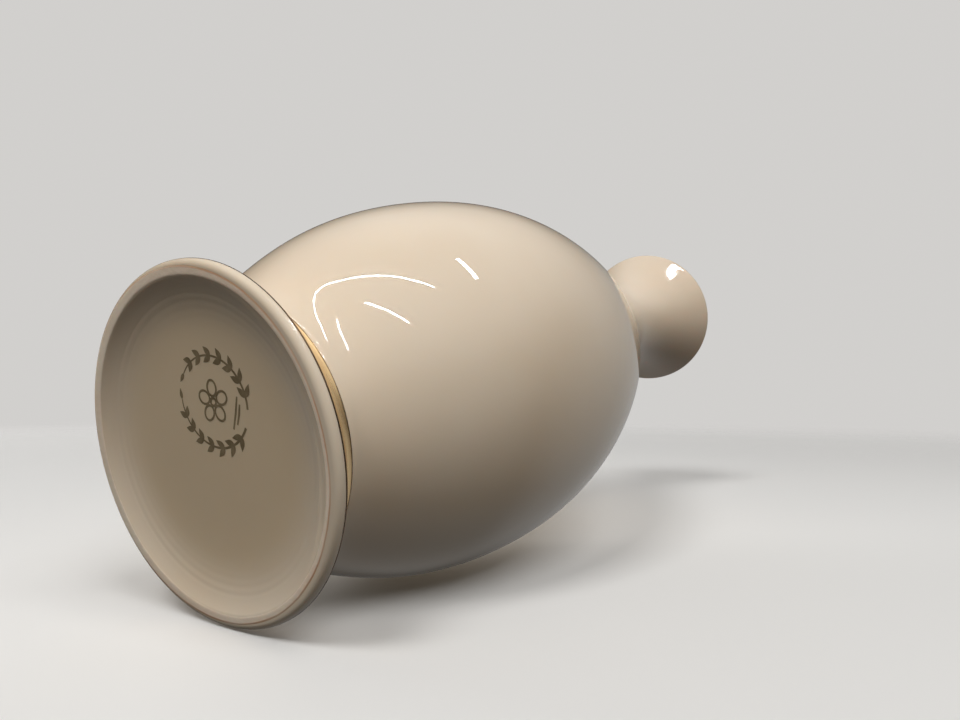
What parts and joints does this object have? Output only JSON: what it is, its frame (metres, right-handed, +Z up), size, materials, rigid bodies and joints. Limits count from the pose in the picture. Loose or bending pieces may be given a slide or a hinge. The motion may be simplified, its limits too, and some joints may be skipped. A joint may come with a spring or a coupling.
{
  "type": "porcelain vase",
  "caption": "Tall glazed porcelain vase with an egg-shaped body, narrow neck, flared mouth and a gilded pedestal foot with a recessed underside.",
  "frame": {"origin": "centre of the standing ring, on the surface the vase stands on", "axes": "+Z up along the vase's axis, from the foot to the mouth; the vase is round about Z, so X and Y are free"},
  "size_m": [0.0938, 0.0938, 0.24],
  "materials": {
    "ivory_glaze": "clear glossy glaze over warm ivory porcelain, bare on the standing ring",
    "fired_slip": "fired slip, unglazed",
    "fired_gold": "bright fired gold"
  },
  "bodies": {
    "root": {"foot_with_base": "ivory_glaze", "foot_slip_joint": "fired_slip", "body": "ivory_glaze", "neck_slip_joint": "fired_slip", "neck_and_mouth": "ivory_glaze", "gilded_foot_band": "fired_gold"}
  },
  "joints": []
}
